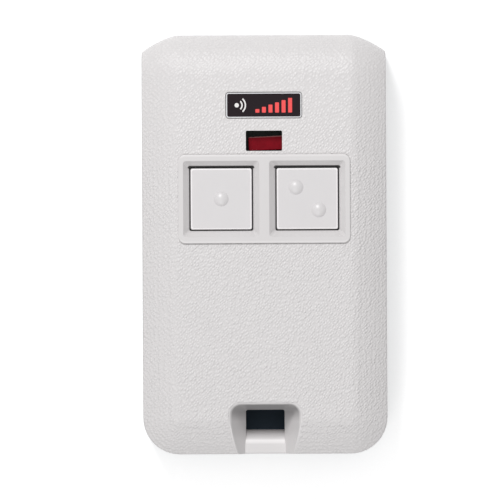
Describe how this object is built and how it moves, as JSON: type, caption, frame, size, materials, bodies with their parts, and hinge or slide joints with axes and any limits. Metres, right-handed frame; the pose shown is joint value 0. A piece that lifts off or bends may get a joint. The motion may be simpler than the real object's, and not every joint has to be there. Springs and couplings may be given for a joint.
{
  "type": "key fob transmitter",
  "caption": "Small handheld radio transmitter with square push buttons in a raised bezel, an indicator window and a key-ring bar at the end.",
  "frame": {"origin": "middle of the flat back face that it lies on", "axes": "+Z out of the front face with the buttons, +Y along the case towards the top end away from the key-ring bar, +X to the right seen from the front"},
  "size_m": [0.0344, 0.059, 0.0143],
  "materials": {
    "case_plastic": "light grey moulded plastic with a fine leather grain",
    "rear_plastic": "charcoal moulded plastic with a fine spark-eroded texture",
    "button_plastic": "smooth satin light grey plastic",
    "label_gloss": "glossy black plate with a bright border and plain coloured shapes",
    "lamp_resin": "deep red translucent resin",
    "screw_steel": "dark zinc-plated steel",
    "tinned_steel": "tinned spring steel",
    "board_laminate": "green solder resist over glass laminate",
    "switch_moulding": "blue moulded switch body",
    "lever_plastic": "white moulded levers",
    "cell_jacket": "printed shrink jacket over a steel can",
    "chip_body": "black moulding compound",
    "ceramic": "fired ceramic",
    "brass_rotor": "silvered brass",
    "can_metal": "nickel-plated pressed metal",
    "chip_part": "glazed ceramic chips with tinned ends",
    "plunger_plastic": "moulded nylon"
  },
  "bodies": {
    "case": {"front_cover": "case_plastic", "rear_cover": "rear_plastic", "case_screws": "screw_steel", "label_plate": "label_gloss", "indicator_lamp": "lamp_resin", "lamp_leads": "tinned_steel", "circuit_board": "board_laminate", "code_switch_body": "switch_moulding", "code_switch_terminals": "tinned_steel", "battery_cell": "cell_jacket", "battery_contact_positive": "tinned_steel", "battery_contact_negative": "tinned_steel", "battery_spring": "tinned_steel", "encoder_chip": "chip_body", "encoder_pins": "tinned_steel", "trimmer_base": "ceramic", "resonator_can": "can_metal", "oscillator_transistor": "chip_body", "chip_resistors": "chip_part", "chip_capacitors": "chip_part", "left_switch_base": "chip_body", "left_switch_cover": "can_metal", "left_switch_dome": "tinned_steel", "right_switch_base": "chip_body", "right_switch_cover": "can_metal", "right_switch_dome": "tinned_steel"},
    "left_button": {"left_button": "button_plastic", "left_switch_plunger": "plunger_plastic"},
    "right_button": {"right_button": "button_plastic", "right_switch_plunger": "plunger_plastic"},
    "trimmer_rotor": {"trimmer_rotor": "brass_rotor"},
    "code_lever_01": {"code_lever_01": "lever_plastic"},
    "code_lever_02": {"code_lever_02": "lever_plastic"},
    "code_lever_03": {"code_lever_03": "lever_plastic"},
    "code_lever_04": {"code_lever_04": "lever_plastic"},
    "code_lever_05": {"code_lever_05": "lever_plastic"},
    "code_lever_06": {"code_lever_06": "lever_plastic"},
    "code_lever_07": {"code_lever_07": "lever_plastic"},
    "code_lever_08": {"code_lever_08": "lever_plastic"},
    "code_lever_09": {"code_lever_09": "lever_plastic"},
    "code_lever_10": {"code_lever_10": "lever_plastic"}
  },
  "joints": [
    {"name": "left_button_press", "type": "slide", "parent": "case", "child": "left_button", "axis": [0, 0, -1], "range_m": [0, 0.00025], "stiffness_N_per_m": 6000, "deforming": ["left_switch_dome"]},
    {"name": "right_button_press", "type": "slide", "parent": "case", "child": "right_button", "axis": [0, 0, -1], "range_m": [0, 0.00025], "stiffness_N_per_m": 6000, "deforming": ["right_switch_dome"]},
    {"name": "trimmer_turn", "type": "hinge", "parent": "case", "child": "trimmer_rotor", "pos_m": [-0.0078, 0.02, 0.0095], "axis": [0, 0, 1], "continuous": true},
    {"name": "code_lever_01_slide", "type": "slide", "parent": "case", "child": "code_lever_01", "axis": [0, 1, 0], "range_m": [-0.0016, 0]},
    {"name": "code_lever_02_slide", "type": "slide", "parent": "case", "child": "code_lever_02", "axis": [0, 1, 0], "range_m": [0, 0.0016]},
    {"name": "code_lever_03_slide", "type": "slide", "parent": "case", "child": "code_lever_03", "axis": [0, 1, 0], "range_m": [0, 0.0016]},
    {"name": "code_lever_04_slide", "type": "slide", "parent": "case", "child": "code_lever_04", "axis": [0, 1, 0], "range_m": [-0.0016, 0]},
    {"name": "code_lever_05_slide", "type": "slide", "parent": "case", "child": "code_lever_05", "axis": [0, 1, 0], "range_m": [-0.0016, 0]},
    {"name": "code_lever_06_slide", "type": "slide", "parent": "case", "child": "code_lever_06", "axis": [0, 1, 0], "range_m": [0, 0.0016]},
    {"name": "code_lever_07_slide", "type": "slide", "parent": "case", "child": "code_lever_07", "axis": [0, 1, 0], "range_m": [-0.0016, 0]},
    {"name": "code_lever_08_slide", "type": "slide", "parent": "case", "child": "code_lever_08", "axis": [0, 1, 0], "range_m": [0, 0.0016]},
    {"name": "code_lever_09_slide", "type": "slide", "parent": "case", "child": "code_lever_09", "axis": [0, 1, 0], "range_m": [0, 0.0016]},
    {"name": "code_lever_10_slide", "type": "slide", "parent": "case", "child": "code_lever_10", "axis": [0, 1, 0], "range_m": [-0.0016, 0]}
  ]
}
